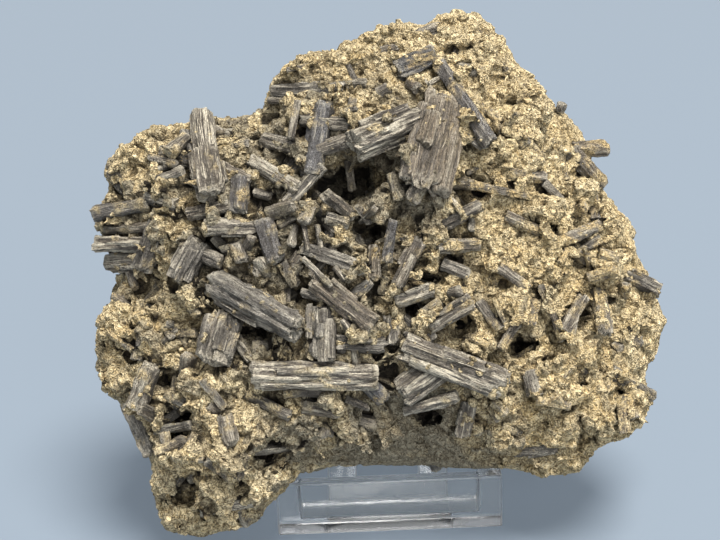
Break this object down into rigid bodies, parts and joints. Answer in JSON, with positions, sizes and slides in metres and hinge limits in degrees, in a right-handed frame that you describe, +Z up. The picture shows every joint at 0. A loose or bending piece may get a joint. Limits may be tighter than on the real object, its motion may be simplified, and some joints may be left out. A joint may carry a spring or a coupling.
{
  "type": "mineral specimen",
  "caption": "Jumbled cluster of striated aragonite prisms in a tan granular crust, leaning on a small clear display easel.",
  "frame": {"origin": "middle of the whole object's box in X and Y, on the floor that the easel stands on", "axes": "+Z up, -Y out of the stone's face towards the viewer, +X to the viewer's right"},
  "size_m": [0.13, 0.0864, 0.1137],
  "materials": {
    "aragonite": "rough",
    "acrylic": "clear"
  },
  "bodies": {
    "root": {"aragonite": "aragonite", "stand_tray": "acrylic", "stand_back": "acrylic"}
  },
  "joints": []
}
